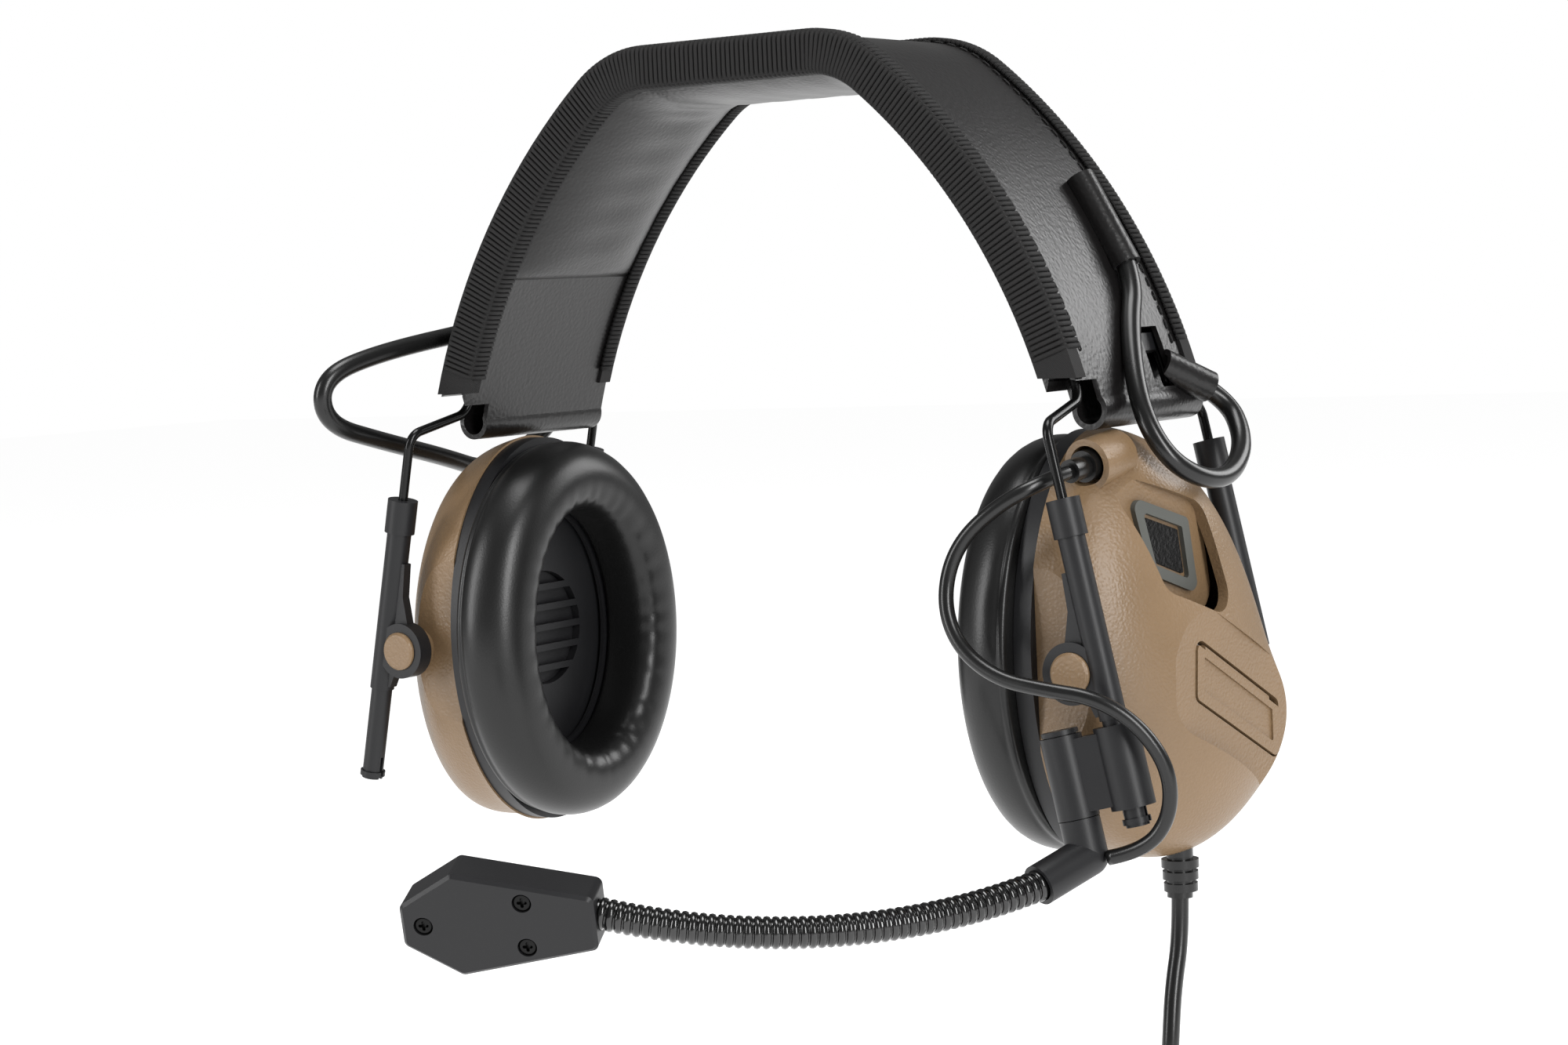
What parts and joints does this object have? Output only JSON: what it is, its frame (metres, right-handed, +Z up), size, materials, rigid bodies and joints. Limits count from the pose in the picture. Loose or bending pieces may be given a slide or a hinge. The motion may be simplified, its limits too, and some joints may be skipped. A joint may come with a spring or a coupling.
{
  "type": "radio headset",
  "caption": "Tactical radio headset with padded leather headband on sprung wires, tan ear cups, side arms, swinging boom microphone and plugged lead.",
  "frame": {"origin": "underside of the headband at the crown of the head, midway between the two sides and at the head's centre front to back", "axes": "+X to the wearer's left, +Y to the back of the head, +Z up"},
  "size_m": [0.2319, 0.1747, 0.3412],
  "materials": {
    "leather_black": "pebbled, semi-gloss",
    "binding_black": "ribbed tape, matte",
    "foam_black": "open foam, matte",
    "wire_black": "black oxide, glossy",
    "plastic_black": "satin",
    "plastic_tan": "fine pebble, semi-matte",
    "plastic_grey": "satin",
    "rubber_black": "smooth, semi-gloss",
    "gooseneck_black": "glossy black",
    "cushion_black": "smooth, semi-matte",
    "screw_black": "black zinc",
    "pin_steel": "drawn",
    "plug_nickel": "nickel plated",
    "cell_metal": "bare can",
    "board_green": "solder mask"
  },
  "bodies": {
    "headband": {"band_cover": "leather_black", "band_foam": "foam_black", "band_bindings": "binding_black", "front_spring_wire": "wire_black", "rear_spring_wire": "wire_black", "wire_spacers": "plastic_black", "cable_tunnels": "leather_black", "cable_keepers": "leather_black", "left_cable_loop": "rubber_black", "right_cable_loop": "rubber_black"},
    "left_yoke": {"left_front_arm": "plastic_black", "left_rear_arm": "plastic_black", "left_ferrules": "plastic_black", "boom_clamp": "plastic_black", "mic_cord": "rubber_black"},
    "right_yoke": {"right_front_arm": "plastic_black", "right_rear_arm": "plastic_black", "right_ferrules": "plastic_black"},
    "left_cup": {"left_shell": "plastic_tan", "left_baffle": "plastic_black", "left_cushion_plate": "plastic_black", "left_cushion": "cushion_black", "left_trunnion_buttons": "plastic_tan", "left_window_bezel": "plastic_grey", "left_window_foam": "foam_black", "left_battery": "cell_metal", "left_speaker": "plastic_black", "left_baffle_screws": "screw_black", "left_door_pin": "pin_steel", "circuit_board": "board_green", "cord_plug": "rubber_black", "downlead_gland": "rubber_black", "downlead_cord": "rubber_black", "downlead_coil": "rubber_black", "coil_tie": "rubber_black", "plug_body": "rubber_black", "plug_pin": "plug_nickel"},
    "right_cup": {"right_shell": "plastic_tan", "right_baffle": "plastic_black", "right_cushion_plate": "plastic_black", "right_cushion": "cushion_black", "right_trunnion_buttons": "plastic_tan", "right_window_bezel": "plastic_grey", "right_window_foam": "foam_black", "right_battery": "cell_metal", "right_speaker": "plastic_black", "right_baffle_screws": "screw_black", "right_door_pin": "pin_steel"},
    "left_door": {"left_battery_door": "plastic_tan"},
    "right_door": {"right_battery_door": "plastic_tan"},
    "power_button": {"power_key": "rubber_black"},
    "volume_up_button": {"volume_up_key": "rubber_black"},
    "volume_down_button": {"volume_down_key": "rubber_black"},
    "boom": {"boom_elbow": "plastic_black", "gooseneck_inner": "gooseneck_black"},
    "boom_tip": {"gooseneck_outer": "gooseneck_black", "mic_front_half": "plastic_black", "mic_back_half": "plastic_black", "mic_capsule": "pin_steel", "mic_screws": "screw_black"}
  },
  "joints": [
    {"name": "left_height", "type": "slide", "parent": "headband", "child": "left_yoke", "axis": [0.213, 0, -0.977], "range_m": [0, 0.02]},
    {"name": "left_tilt", "type": "hinge", "parent": "left_yoke", "child": "left_cup", "pos_m": [0.091, 0, -0.1301], "axis": [0, 1, 0], "range_deg": [-8, 3]},
    {"name": "left_door_hinge", "type": "hinge", "parent": "left_cup", "child": "left_door", "pos_m": [0.10539, 0.00804, -0.13575], "axis": [-0.1062, -0.8643, 0.4916], "range_deg": [0, 50]},
    {"name": "right_height", "type": "slide", "parent": "headband", "child": "right_yoke", "axis": [-0.213, 0, -0.977], "range_m": [0, 0.02]},
    {"name": "right_tilt", "type": "hinge", "parent": "right_yoke", "child": "right_cup", "pos_m": [-0.091, 0, -0.1301], "axis": [0, -1, 0], "range_deg": [-8, 3]},
    {"name": "right_door_hinge", "type": "hinge", "parent": "right_cup", "child": "right_door", "pos_m": [-0.10539, 0.00804, -0.13575], "axis": [-0.1062, 0.8643, -0.4916], "range_deg": [0, 50]},
    {"name": "power_press", "type": "slide", "parent": "left_cup", "child": "power_button", "axis": [0, -1, 0], "range_m": [0, 0.001], "stiffness_N_per_m": 500},
    {"name": "volume_up_press", "type": "slide", "parent": "left_cup", "child": "volume_up_button", "axis": [0, -1, 0], "range_m": [0, 0.001], "stiffness_N_per_m": 500},
    {"name": "volume_down_press", "type": "slide", "parent": "left_cup", "child": "volume_down_button", "axis": [0, -1, 0], "range_m": [0, 0.001], "stiffness_N_per_m": 500},
    {"name": "boom_swing", "type": "hinge", "parent": "left_yoke", "child": "boom", "pos_m": [0.09017, -0.039, -0.15151], "axis": [-0.213, 0, 0.977], "range_deg": [-10, 90], "deforming": ["mic_cord"]},
    {"name": "boom_bend", "type": "hinge", "parent": "boom", "child": "boom_tip", "pos_m": [0.05812, -0.09127, -0.1762], "axis": [0, 0, 1], "range_deg": [-20, 20]}
  ]
}
